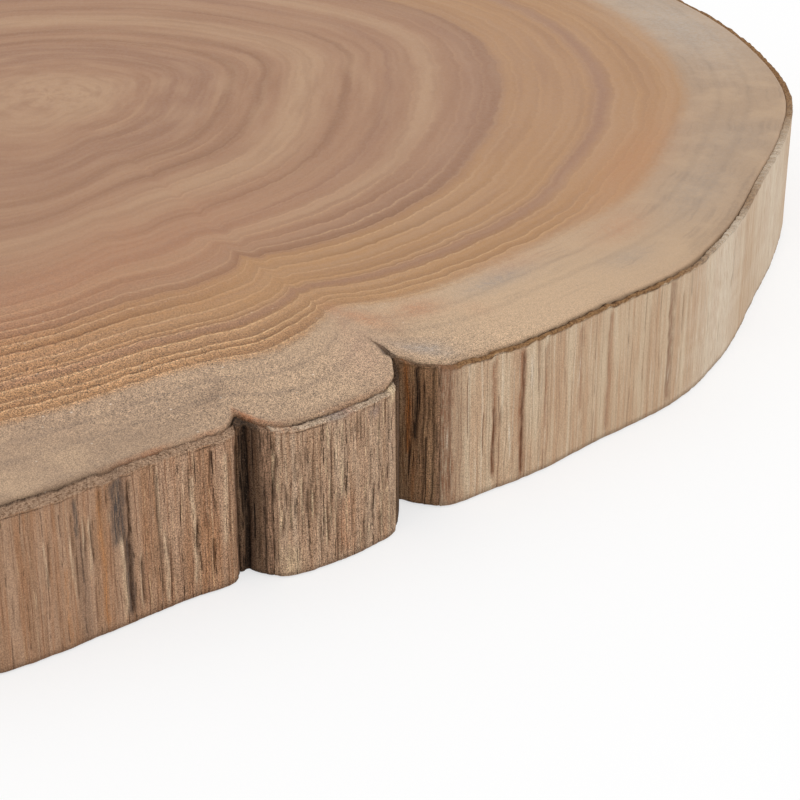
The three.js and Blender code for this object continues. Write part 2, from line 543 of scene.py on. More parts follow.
    def along_rings(
        self, add: Adder, place: Socket, ring: Socket, length: float, width: float, detail: float
    ) -> Socket:
        """Noise whose grains lie along the rings: noise on a circle of directions, carried outwards.

        Args:
            add: Adds nodes to the material.
            place: Object coordinates.
            ring: Ring coordinate in millimetres.
            length: Size of the grains along the rings.
            width: Size of the grains across the rings.
            detail: Number of finer layers of noise in it.

        Returns:
            The noise, from 0 to 1.
        """
        level = add("VectorMath", [place, (*(PITH * MM), 0)], operation="SUBTRACT")
        level = add("VectorMath", [level, (1, 1, 0)], operation="MULTIPLY")
        direction = add("VectorMath", [level], operation="NORMALIZE")
        inward = add("CombineXYZ", {"Z": add("Math", [ring, 1 / width], operation="MULTIPLY")})
        spot = add("VectorMath", [direction, (self.reference / length,) * 3, inward], operation="MULTIPLY_ADD")
        return add("TexNoise", {"Vector": spot, "Scale": 1.0, "Detail": detail, "Roughness": 0.6})

    def wavy_rings(self, add: Adder, place: Socket, share: Socket) -> Socket:
        """Ring coordinate in millimetres: the share of the way to the rim, moved in and out by waves.

        Args:
            add: Adds nodes to the material.
            place: Object coordinates.
            share: Share of the way from the pith to the rim.

        Returns:
            The ring coordinate.
        """
        plain = ring = add("Math", [share, self.reference], operation="MULTIPLY")
        calm = add("MapRange", [share, 0.05, 0.6, 0.0, 1.0])
        for length, keeping, shift in self.waves:
            wave = self.along_rings(add, place, plain, length, keeping, 0.0)
            moved = add("MapRange", [wave, 0.0, 1.0, -shift, shift])
            ring = add("Math", [moved, calm, ring], operation="MULTIPLY_ADD")
        return ring

    def heartwood(self, add: Adder, place: Socket, ring: Socket) -> Socket:
        """Heartwood colour: broad bands of tone, soft streaks, and growth rings.

        A ramp counts the rings: it rises by one from each ring's start to the next. The whole part of the count is
        the ring's number, and the rest says how far through the ring a point lies. In each ring the wood darkens
        slowly outwards, up to the thin pale line of early wood that starts the next.

        Args:
            add: Adds nodes to the material.
            place: Object coordinates.
            ring: Ring coordinate in millimetres.

        Returns:
            The colour.
        """
        share = add("Math", [ring, 1 / self.reference], operation="MULTIPLY")
        tones, count = (add("ValToRGB", [share]) for _ in range(2))
        tones.node.color_ramp.interpolation = "EASE"
        last = len(self.rings) + 1
        numbers = [(where, (index / last,) * 3 + (1.0,)) for index, where in enumerate(self.rings, 1)]
        shades = [(where, linear(getattr(self, name))) for where, name in self.tones]
        for ramp, first, end, stops in (
            (tones, linear(self.pale), linear(self.gold), shades),
            (count, (0.0, 0.0, 0.0, 1.0), (1.0, 1.0, 1.0, 1.0), numbers),
        ):
            elements = ramp.node.color_ramp.elements
            elements[1].position, elements[1].color = 1.0, end
            elements[0].color = first
            for where, value in stops:
                elements.new(where).color = value
        outer = add("MapRange", [share, 0.5, 0.68, 0.0, 1.0])
        colour = add("Mix", [outer, linear(self.mid), linear(self.gold)], data_type="RGBA")
        bands = add("Attribute", output="Fac", attribute_name="bands")
        colour = add("Mix", [bands, colour, tones], data_type="RGBA")

        # Soft streaks that come and go along the rings, broad ones and thin ones.
        for length, width, much in ((75.0, 4.0, 0.36), (55.0, 1.3, 0.25)):
            streaks = self.along_rings(add, place, ring, length, width, 1.0)
            for start, full, tone in ((0.5, 0.72, self.brown), (0.5, 0.28, self.pale)):
                here = add("MapRange", [streaks, start, full, 0.0, much])
                colour = add("Mix", [here, colour, linear(tone)], data_type="RGBA")

        order = add("Math", [count, float(last)], operation="MULTIPLY")
        through = add("Math", [order], operation="FRACT")
        number = add("Math", [order], operation="FLOOR")
        chance = add("TexWhiteNoise", {"W": number}, "Value", noise_dimensions="1D")
        strong = add("MapRange", [chance, 0.0, 1.0, 0.5, 1.1])
        ringed = add("Attribute", output="Fac", attribute_name="ringed")
        strong = add("Math", [strong, ringed], operation="MULTIPLY")

        late = add("Math", [through, 1.8], operation="POWER")
        ended = add("MapRange", [through, 0.93, 1.0, 0.85, 0.0])
        early = add("MapRange", [through, 0.04, 0.2, 0.9, 0.0], interpolation_type="SMOOTHSTEP")
        dots = add("MapRange", [self.speckle(add, place, self.early_pore), 0.35, 0.6, 0.3, 1.0])
        for wood, kept, tone in ((late, ended, self.ring_dark), (early, dots, self.ring_pale)):
            much = add("Math", [wood, kept], operation="MULTIPLY")
            much = add("Math", [much, strong], operation="MULTIPLY")
            colour = add("Mix", [much, colour, linear(tone)], data_type="RGBA")
        return colour

    def sapwood(self, add: Adder, place: Socket, ring: Socket, grain: Socket, heart: Socket) -> Socket:
        """Sapwood colour outside the heart: dull on one side of the trunk and clear on the other, with faint rings.

        Args:
            add: Adds nodes to the material.
            place: Object coordinates.
            ring: Ring coordinate in millimetres.
            grain: How crisp the wood's fine structure is.
            heart: Heartwood colour.

        Returns:
            The colour of both woods.
        """
        tone = add("Attribute", output="Fac", attribute_name="clear")
        colour = add("Mix", [tone, linear(self.sap_dull), linear(self.sap_clear)], data_type="RGBA")
        lines = add("MapRange", [self.along_rings(add, place, ring, 30.0, 0.9, 1.0), 0.5, 0.72, 0.0, 0.42])
        cloud = add("TexNoise", {"Vector": place, "Scale": 1 / (7 * MM), "Detail": 3.0})
        here = add("MapRange", [cloud, 0.35, 0.65, 0.0, 0.7])
        lines = add("Math", [lines, here], operation="MULTIPLY")
        layers = [(lines, self.sap_dark), (add("MapRange", [cloud, 0.52, 0.34, 0.0, 0.4]), self.sap_clear)]
        beyond = add("Attribute", output="Fac", attribute_name="beyond_heart")
        clearly = add("MapRange", [grain, 0.1, 0.9, 0.15, 0.42])
        for distance in self.sap_rings:
            off = add("Math", [beyond, distance], operation="SUBTRACT")
            off = add("MapRange", [add("Math", [off], operation="ABSOLUTE"), 0.1, 1.1, 1.0, 0.0])
            layers.append((add("Math", [off, clearly], operation="MULTIPLY"), self.sap_dark))
        for much, shade in layers:
            colour = add("Mix", [much, colour, linear(shade)], data_type="RGBA")

        ragged = add("TexNoise", {"Vector": place, "Scale": 1 / (1.1 * MM), "Detail": 3.0})
        edge = add("Math", [beyond, add("MapRange", [ragged, 0.0, 1.0, -1.3, 1.3])], operation="ADD")
        much = add("MapRange", [edge, -2.2, 2.0, 0.0, 1.0], interpolation_type="SMOOTHSTEP")
        return add("Mix", [much, heart, colour], data_type="RGBA")


@dataclass(frozen=True)
class Lines:
    """Upright lines on bark, at uneven distances, that come and go along the height.

    Attributes:
        colour: Colour of the lines.
        spacing: Mean distance between two of them.
        width: Width of a line.
        length: How long a line goes on.
        share: Share of the height on which a line is there.
        strength: How far the colour changes, from 0 to 1.
        sunk: How deep the lines lie in the bump, from -1 to 1.
    """

    colour: str
    spacing: float
    width: float
    length: float
    share: float
    strength: float
    sunk: float = 1.0


@dataclass(frozen=True)
class FibrousBark:
    """Dry inner bark of teak, peeled and left rough.

    Gives the eye soft upright bands in several browns, thin dark slits and torn pale fibres over them, and a paler,
    crumbly upper edge.
    """

    name: str
    mid: str
    pale: str
    warm: str
    edge: str
    edge_dark: str
    lines: tuple[Lines, ...]
    slit: str = "#3B281B"
    grey: str = "#76675E"
    resin: str = "#AD6A3E"
    fibre: str = "#D0B08A"
    shade: str = "#33241A"
    grit: str = "#A08A74"
    dust: float = 0.0
    band_strength: float = 0.7
    warm_strength: float = 0.5
    speck_strength: float = 0.38
    bump: float = 0.5

    def material(self) -> bpy.types.Material:
        """Builds the material.

        Returns:
            The finished material.
        """
        material, add = new_material(self.name)
        place = add("TexCoord", output="Object")
        along = add("UVMap", uv_map="surface")

        colour: Any = linear(self.mid)
        for width, length, start, full, strength, tone in (
            (2.4, 45.0, 0.44, 0.66, self.band_strength, self.pale),
            (1.3, 30.0, 0.5, 0.68, self.warm_strength, self.warm),
            (0.5, 12.0, 0.5, 0.7, self.band_strength * 0.6, self.pale),
        ):
            band = self.upright(add, along, width, length)
            much = add("MapRange", [band, start, full, 0.0, strength])
            colour = add("Mix", [much, colour, linear(tone)], data_type="RGBA")

        crisp = add("Attribute", output="Fac", attribute_name="crisp")
        fine = relief = self.upright(add, along, 0.2, 3.0)
        for lines in self.lines:
            mask = self.line_mask(add, along, lines)
            much = add("MapRange", [crisp, 0.0, 1.0, 0.15 * lines.strength, lines.strength])
            much = add("Math", [mask, much], operation="MULTIPLY")
            colour = add("Mix", [much, colour, linear(lines.colour)], data_type="RGBA")
            relief = add("Math", [mask, -lines.sunk, relief], operation="MULTIPLY_ADD")

        # The upper edge is crumbs of bark: pale grains with dark ones between them.
        crumbs, specks, grit = (
            add("TexNoise", {"Vector": place, "Scale": 1 / (size * MM), "Detail": detail, "Roughness": rough})
            for size, detail, rough in ((0.45, 4.0, 0.7), (0.2, 1.0, 0.6), (0.28, 2.0, 0.7))
        )
        mixed = add("MapRange", [crumbs, 0.36, 0.56, 0.0, 1.0])
        crumb = add("Mix", [mixed, linear(self.edge_dark), linear(self.edge)], data_type="RGBA")
        top = add("Attribute", output="Fac", attribute_name="crumbled")
        colour = add("Mix", [top, colour, crumb], data_type="RGBA")
        colour = lay_over(add, self, Trace, add("MapRange", [fine, 0.3, 0.6, 0.3, 1.0]), colour)

        for value, strength in ((specks, 1.5 * self.speck_strength), (fine, 0.6 * self.speck_strength)):
            gain = add("MapRange", [value, 0.3, 0.7, -strength, strength])
            gain = add("Math", [gain, crisp, 1.0], operation="MULTIPLY_ADD")
            colour = add("VectorMath", [colour, gain], operation="SCALE")
        if self.dust:
            grit = add("MapRange", [grit, 0.6, 0.72, 0.0, self.dust])
            colour = add("Mix", [grit, colour, linear(self.grit)], data_type="RGBA")

        relief = add("Math", [relief, specks], operation="ADD")
        bump = add("Bump", {"Strength": self.bump, "Distance": 0.2 * MM, "Height": relief})
        shader = add(
            "BsdfPrincipled", {"Base Color": colour, "Roughness": 0.88, "Specular IOR Level": 0.12, "Normal": bump}
        )
        add("OutputMaterial", {"Surface": shader})
        return material

    @staticmethod
    def upright(add: Adder, along: Socket, width: float, length: float) -> Socket:
        """Noise stretched along the fibres.

        Args:
            add: Adds nodes to the material.
            along: The bark's own surface coordinates, in metres.
            width: Size of its grains across the fibres.
            length: Size of its grains along the fibres.

        Returns:
            The noise, from 0 to 1.
        """
        spot = add("Mapping", {"Vector": along, "Scale": (1 / (width * MM), 1 / (length * MM), 1)})
        sizes = {"Vector": spot, "Scale": 1.0, "Detail": 2.0, "Roughness": 0.6}
        return add("TexNoise", sizes, noise_dimensions="2D")

    def line_mask(self, add: Adder, along: Socket, lines: Lines) -> Socket:
        """Where the lines are: near the points of an uneven row across the fibres, where a noise lets them show.

        Args:
            add: Adds nodes to the material.
            along: The bark's own surface coordinates, in metres.
            lines: What the lines are like.

        Returns:
            1 on the lines and 0 between them.
        """
        wander = add("MapRange", [self.upright(add, along, 3.0, 14.0), 0.0, 1.0, -0.5 * MM, 0.5 * MM])
        across = add("Math", [add("SeparateXYZ", [along], "X"), wander], operation="ADD")
        row = add("Math", [across, 1 / (lines.spacing * MM)], operation="MULTIPLY")
        away = add("TexVoronoi", {"W": row, "Scale": 1.0, "Randomness": 0.95}, "Distance", voronoi_dimensions="1D")
        half = lines.width / lines.spacing / 2
        line = add("MapRange", [away, half * 0.6, half * 1.5, 1.0, 0.0])
        there = self.upright(add, along, lines.spacing, lines.length)
        start = 0.5 + 0.3 * (0.5 - lines.share)
        there = add("MapRange", [there, start - 0.03, start + 0.05, 0.0, 1.0])
        return add("Math", [line, there], operation="MULTIPLY")


@dataclass
class Growth:
    """Shape of the growth rings: an egg round the pith, more and more like the rim further out.

    Attributes:
        rim: Outline of the wood.
        reference: Radius that a share of 1 stands for where the ring shape is 1.
        core_share: Share of the way out up to which the rings keep the core's shape.
        settling: How fast they take on the rim's shape beyond it.
        core: Bearings and radii of the ring at the core's share.
        softening: Shares of the way out, and over how many degrees the rim's folds are smoothed there.
        fold: Bearing of the deep fold at the rim.
        fold_reach: Half-width in degrees of the wood whose rings follow the fold's drift.
        drift: Shares of the way out, and how far the fold has turned there.
        drift_from: Shares of the way out between which that turning sets in.
        crease: How far the rings dip in where the fold runs on into the wood.
        crease_from: Shares of the way out between which the dip sets in.
        crease_until: Shares of the way out between which it ends, the outer one first.
        crease_reach: Degrees over which that dip fades by two thirds, on its left and on its right.
        swell: Shares of the way out, and how far the rings of the front-left buttress lie further in there.
        swell_span: Bearings between which those rings lie further in, and how strongly.
        swell_middle: Bearing in the middle of that buttress.
    """

    rim: PolarEdge
    reference: float = 148.0
    core_share: float = 0.45
    settling: float = 2.3
    core: Table = (
        (-134, 92), (-110, 103), (-84, 98), (-74, 84), (-66, 74.5), (-58, 72), (-40, 68.5), (-10, 61.5), (10, 63),
        (25, 67), (60, 63), (100, 60), (140, 61), (180, 68), (205, 79),
    )
    softening: Table = ((0.7, 6.0), (0.85, 3.0), (0.95, 1.2), (1.0, 0.0))
    fold: float = -59.6
    fold_reach: float = 14.0
    drift: Table = (
        (0.45, -6.4), (0.55, -3.8), (0.62, -2.0), (0.69, -1.4), (0.8, -0.7), (0.95, -0.2), (1, 0)
    )
    drift_from: tuple[float, float] = (0.3, 0.5)
    crease: float = 5.2
    crease_from: tuple[float, float] = (0.48, 0.64)
    crease_until: tuple[float, float] = (1.0, 0.93)
    crease_reach: tuple[float, float] = (1.1, 3.6)
    swell: Table = (
        (0.3, 0.0), (0.42, 0.03), (0.52, 0.038), (0.6, 0.04), (0.66, 0.024), (0.7, 0.02), (0.75, 0.012), (0.78, 0.008),
        (0.815, 0.0), (0.84, -0.004), (0.87, 0.0),
    )
    swell_span: Table = ((-125, 0.0), (-95, 0.8), (-84, 1.0), (-75, 1.0), (-69, 0.0))
    swell_middle: float = -97.0

    def softened(self, spread: float) -> PolarEdge:
        """The rim with its folds smoothed: a bell-shaped running mean, taken on the rim's waves.

        Args:
            spread: Width of the bell in degrees.

        Returns:
            The smoothed outline.
        """
        step = 0.2
        bearings = np.arange(-FULL_TURN / 2, FULL_TURN / 2, step)
        waves = np.fft.fft(self.rim.at(bearings))
        kept = np.exp(-2 * (np.pi * spread * np.fft.fftfreq(len(bearings), step)) ** 2)
        return PolarEdge.closed(bearings, np.fft.ifft(waves * kept).real)

    def radius(self, share: Array, bearing: Array) -> Array:
        """Radius of a ring: its share of the way out times a shape that blends from the core's to the rim's.

        Args:
            share: Share of the way from the pith to the rim.
            bearing: Bearing of the place.

        Returns:
            The ring's distance from the pith.
        """
        inner = read_off(self.swell_span, turned_near(bearing, self.swell_middle))
        share = share - read_off(self.swell, share) * inner
        core = read_round(self.core, bearing) / (self.core_share * self.reference)
        offset = turned_near(bearing, self.fold) - self.fold
        turn = read_off(self.drift, share)
        near = np.exp(-((offset / self.fold_reach) ** 2)) * smoothstep(*self.drift_from, share)
        levels = np.array([level for level, _ in self.softening])
        rim = np.zeros_like(share)
        for index, (_, spread) in enumerate(self.softening):
            weight = np.interp(share, levels, np.eye(len(levels))[index])
            edge = self.softened(spread) if spread else self.rim
            rim += weight * edge.at(bearing - turn * near) / self.reference
        left = np.clip((1 - share) / (1 - self.core_share), 0, 1)
        dip = self.crease * smoothstep(*self.crease_from, share) * smoothstep(*self.crease_until, share)
        reach = np.where(offset < turn, *self.crease_reach)
        dip = dip * np.exp(-np.abs(offset - turn) / reach)
        return share * self.reference * (rim + (core - rim) * left**self.settling) - dip


@dataclass
class Slab:
    """The slice of wood, with its eased edges and the radial crack at the deep fold.

    Attributes:
        rim: Outline of the wood.
        thickness: Height of the slice.
        ease: Rounding of its upper and lower edges.
        crack_mouth: Width of the crack at the fold's root.
        crack_length: How far in the open crack reaches.
        hairline_length: How much further a hairline runs on.
        hairline: Width of that hairline where it starts.
        crack_give: Arc length over which the wood beside the crack gives way to it.
        close_at: Bearing at which the wood lies close to the bark of the deep fold.
        close_span: Degrees over which that fades by two thirds.
        overhang: How far the wood is carried out over the bark there.
        columns: Number of steps round the slice.
        front_density: How much closer the steps lie at the crack than on average, from 0 to 1.
        top_rows: Rows of points from the pith to the rim on the upper face.
        edge_rows: Rows of points round each eased edge.
        wall_rows: Rows of points down the wall.
        bottom_rows: Rows of points on the lower face.
        heart_edge: Bearings, and the share of the way out at which the heartwood ends there.
        clearness: Bearings, and how clear the sapwood is there.
        crispness: Distances from the middle along Y, and how crisp the fine grain is there.
        crisp_behind: Bearings, and how crisp the fine grain of the outer wood is at least there.
        banding: Bearings, and how plain the broad bands of tone are there.
        ringed_right: Bearing where the rings show well on the right, over how many degrees, and how well.
        stains: Patches of colour: stains, and painted shade along the crack.
        finish: What the slab is made of.
    """

    rim: PolarEdge
    thickness: float = 25.4
    ease: float = 0.7
    crack_mouth: float = 0.7
    crack_length: float = 4.5
    hairline_length: float = 2.0
    hairline: float = 0.25
    crack_give: float = 3.0
    close_at: float = -60.1
    close_span: float = 0.9
    overhang: float = 1.5
    columns: int = 1100
    front_density: float = 0.8
    top_rows: int = 46
    edge_rows: int = 5
    wall_rows: int = 5
    bottom_rows: int = 14
    heart_edge: Table = (
        (-130, 0.86), (-84, 0.856), (-72, 0.858), (-66, 0.861), (-60, 0.853), (-50, 0.848), (-36, 0.844), (-23, 0.871),
        (-8, 0.868), (4, 0.874), (20, 0.888), (60, 0.88), (110, 0.87), (160, 0.88), (200, 0.865),
    )
    clearness: Table = (
        (-130, 0.2), (-86, 0.0), (-74, 0.1), (-66, 0.4), (-58, 0.6), (-50, 1.0), (-36, 0.75), (-20, 0.4), (0, 0.2),
        (30, 0.3), (80, 0.5), (140, 0.3), (190, 0.5),
    )
    crispness: Table = (
        (-150, 0.4), (-134, 0.65), (-127, 1.0), (-112, 1.0), (-104, 0.75), (-96, 0.38), (-86, 0.2), (-70, 0.09),
        (-55, 0.06),
    )
    crisp_behind: Table = ((-150, 0.4), (-110, 0.0), (35, 0.0), (90, 0.45), (160, 0.5))
    banding: Table = (
        (-150, 0.7), (-110, 0.5), (-85, 0.55), (-60, 0.75), (-20, 0.9), (20, 0.9), (60, 0.7), (110, 0.8), (160, 0.6),
    )
    ringed_right: tuple[float, float, float] = (-46.0, 19.0, 0.52)
    stains: tuple[Stain, ...] = listed(Stain, {
        Tint.DUSK: ((5, 48, 75, 24, 0.5), (-61, 9, 5.5, 8, 0.6)),
        Tint.RUST: (
            (-86, 50, 40, 28, 0.18), (-70.6, 0.5, 1.6, 0.9, 0.9), (-69.8, 0.3, 3, 0.5, 0.5),
            (-76.3, 0.2, 2.4, 0.6, 0.7), (-78, 0.2, 3, 0.6, 0.5), (-73.2, 0.2, 3, 0.5, 0.45),
            (-64.5, 0.2, 7, 0.6, 0.35), (226, 0.8, 5, 1.2, 0.7), (97, 0.8, 4, 1.2, 0.6),
        ),
        Tint.BLUSH: (
            (-80, 68, 42, 14, 0.35), (-58.3, 18, 3.6, 4.2, 0.75), (-50.7, 12.5, 2.6, 2.6, 0.22),
            (-43, 21, 8, 3, 0.35), (-32, 16.5, 9, 3.6, 0.5), (-54, 18.4, 4.5, 2.8, 0.8), (-18, 24, 26, 6, 0.5),
            (160, 30, 24, 9, 0.4),
        ),
        # Umber stains; the one at -59.6 is painted shade along the crack, and those under 1 mm in are darker bands just
        # inside the rim.
        Tint.UMBER: (
            (-62.6, 3, 6, 2.4, 0.25), (-68.8, 2.7, 5, 2.5, 0.15), (-71.9, 9, 4, 2.8, 0.55), (-76, 5, 9, 3.5, 0.25),
            (-65, 0.9, 11, 1.3, 0.6), (-80, 0.8, 12, 0.8, 0.5), (-59.6, 4, 0.45, 5, 0.5), (-56.5, 0.7, 7, 0.6, 0.5),
            (-57.4, 13, 1.6, 3.5, 0.2), (-26, 0.6, 24, 1.2, 0.3),
        ),
        # Painted shade in the crack: a thin near-black line along it.
        Tint.CHAR: ((-59.6, 0.8, 0.22, 3.6, 1),),
        Tint.SLATE: (
            (-57.4, 5.5, 3.2, 2.2, 0.8), (-56.5, 2.5, 2, 1.5, 0.4), (-46, 18.4, 9, 2.6, 0.65),
            (-22, 9, 18, 6, 0.36), (-10, 8, 11, 9, 0.25), (-36.5, 9, 6, 2.6, 0.35), (120, 8, 20, 5, 0.35),
        ),
        Tint.ASH: ((20, 9, 32, 11, 0.55),),
    })
    finish: EndGrainTeak = EndGrainTeak()

    def profile(self) -> tuple[Array, Array, Array]:
        """Section of the slice from the pith over the upper face, round the edges and back under the lower face.

        Returns:
            For each row its share of the way to the rim, its inset as a share of the ease, and its height.
        """
        crowding = 1.5  # above 1, the rows of the upper face lie closer together near the rim
        outward = 1 - (1 - np.linspace(0, 1, self.top_rows)) ** crowding
        turn = np.linspace(0, np.pi / 2, self.edge_rows + 1)[1:]
        wall = np.linspace(self.thickness - self.ease, self.ease, self.wall_rows + 1)[1:]
        inward = np.linspace(1, 0, self.bottom_rows)
        share = np.concatenate([outward, np.ones(2 * self.edge_rows + self.wall_rows), inward[1:]])
        inset = np.concatenate(
            [
                np.ones(self.top_rows), 1 - np.sin(turn), np.zeros(self.wall_rows), 1 - np.cos(turn),
                np.ones(len(inward) - 1),
            ]
        )
        height = np.concatenate(
            [
                np.full(self.top_rows, self.thickness), self.thickness - self.ease * (1 - np.cos(turn)), wall,
                self.ease * (1 - np.sin(turn)), np.zeros(len(inward) - 1),
            ]
        )
        return share, inset, height

    def cracked(self, growth: Growth, radius: Array, offset: Array) -> tuple[Array, Array]:
        """Opens the crack: points beside the seam move apart along the arc, less and less further from it.

        Args:
            growth: Shape of the rings, whose fold carries the crack.
            radius: Radius of each point.
            offset: Bearing of each point from the crack, negative on its second side.

        Returns:
            The bearings of the moved points, and the crack's half-width at each point.
        """
        root = float(self.rim.at(np.array([growth.fold]))[0])
        tip = root - self.crack_length
        taper = 0.6  # below 1, the crack widens quickly from its tip
        wander_by, wander_length, wander_reach, wander_from = 0.3, 2.4, 6.0, 20.0
        half = self.crack_mouth / 2 * np.clip((radius - tip) / self.crack_length, 0, 1) ** taper
        half += self.hairline / 2 * np.clip((radius - tip + self.hairline_length) / self.hairline_length, 0, 1)
        arc = np.radians(offset) * radius
        side = np.where(np.arange(radius.shape[1]) < radius.shape[1] / 2, 1.0, -1.0)
        give = np.clip(1 - np.abs(arc) / self.crack_give, 0, 1)
        wander = wander_by * noise(radius / wander_length, np.zeros_like(radius), 5)
        wander = wander * np.exp(-((arc / wander_reach) ** 2))
        arc = arc + side * half * give + wander * smoothstep(tip - wander_from, tip, radius)
        return growth.fold + np.degrees(arc / np.maximum(radius, 1e-6)), half

    def build(self) -> bpy.types.Object:
        """Carries the section round the pith, from one side of the crack to the other.

        Returns:
            The slab's object.
        """
        growth = Growth(self.rim)
        turn = np.linspace(0, 1, self.columns + 1)
        offset = FULL_TURN * (turn - self.front_density / (2 * np.pi) * np.sin(2 * np.pi * turn))
        share, inset, height = self.profile()
        bearing = np.broadcast_to(growth.fold + offset, (len(share), len(offset)))
        share_grid = np.broadcast_to(share[:, None], bearing.shape)
        rim = self.rim.at(bearing)
        # Beside the crack the wood keeps a sharp edge and lies close to the bark in the fold.
        close = np.exp(-(((turned_near(bearing, self.close_at) - self.close_at) / self.close_span) ** 2))
        uneven, uneven_length, sharpened = 0.3, 1.7, 0.9
        ups = noise(np.radians(bearing) * rim / uneven_length, 0 * bearing, 11)
        ease = self.ease * (1 + uneven * ups) * (1 - sharpened * close)
        edge = rim + self.overhang * close - drawn_in(bearing) - ease * inset[:, None]
        radius = growth.radius(share_grid, bearing) * edge / rim
        signed = np.where(np.arange(len(offset)) < len(offset) / 2, offset, offset - FULL_TURN)
        opened, half = self.cracked(growth, radius, np.broadcast_to(signed, radius.shape))
        angle = np.radians(opened)
        level = np.broadcast_to(height[:, None], radius.shape)
        points = np.stack([PITH[0] + radius * np.cos(angle), PITH[1] + radius * np.sin(angle), level], axis=-1)

        rows, columns = radius.shape
        faces = grid_quads(rows, columns, closed_rows=False).tolist()
        open_rows = np.flatnonzero(half[:, 0] > 0)
        wall = np.arange(open_rows[0] - 1, open_rows[-1] + 2) * columns
        faces += [wall.tolist(), (wall + columns - 1)[::-1].tolist()]

        uv = np.stack([np.broadcast_to(offset / FULL_TURN, radius.shape), share_grid], axis=-1)
        piece = make_piece(
            "teak_slice", points.reshape(-1, 3), faces, {"growth": uv.reshape(-1, 2)},
            self.attributes(growth, share_grid, bearing, radius, rim),
        )
        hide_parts("teak_slab")
        return piece

    def attributes(
        self, growth: Growth, share: Array, bearing: Array, radius: Array, rim: Array
    ) -> dict[str, Array]:
        """Works out where the sapwood starts, how clear it is, and where the stains and the painted shade along the
        crack lie.

        A stain fades with the square of the distance from its middle, as a bell curve.

        Args:
            growth: Shape of the rings.
            share: Share of the way out of each point.
            bearing: Bearing of each point.
            radius: Radius of each point.
            rim: Radius of the rim at each point's bearing.

        Returns:
            The attributes by name.
        """
        north = PITH[1] + radius * np.sin(np.radians(bearing))
        outer = read_round(self.crisp_behind, bearing) * smoothstep(0.5, 0.75, share)
        fine = np.maximum(read_off(self.crispness, north), outer)
        middle, spread, strength = self.ringed_right
        right = strength * np.exp(-(((turned_near(bearing, middle) - middle) / spread) ** 2))
        # Rings show where the grain is crisp, and less in the inner wood; the sapwood's grain is a little softer.
        least_ringed, inner_ringed, sap_softer = 0.12, 0.35, 0.2
        ringed = np.maximum(least_ringed + (1 - least_ringed) * smoothstep(0.02, 0.5, fine), right)
        values = {
            "beyond_heart": (share - read_round(self.heart_edge, bearing)) * growth.reference,
            "clear": read_round(self.clearness, bearing),
            "bands": read_round(self.banding, bearing),
            "grain": fine * (1 - sap_softer * smoothstep(0.84, 0.88, share)),
            "ringed": ringed * (inner_ringed + (1 - inner_ringed) * smoothstep(0.5, 0.68, share)),
        }
        for tint in Tint:
            kept = np.ones_like(radius)
            for stain in self.stains:
                if stain.tint is tint:
                    arc = np.radians(turned_near(bearing, stain.bearing) - stain.bearing) * radius
                    distance = (arc / stain.along) ** 2 + ((rim - radius - stain.inset) / stain.across) ** 2
                    kept = kept * (1 - stain.strength * np.exp(-distance))
            values[tint.value] = 1 - kept
        return values

    def dress(self, piece: bpy.types.Object) -> None:
        """Gives the slab its wood."""
        piece.data.materials.append(self.finish.material())


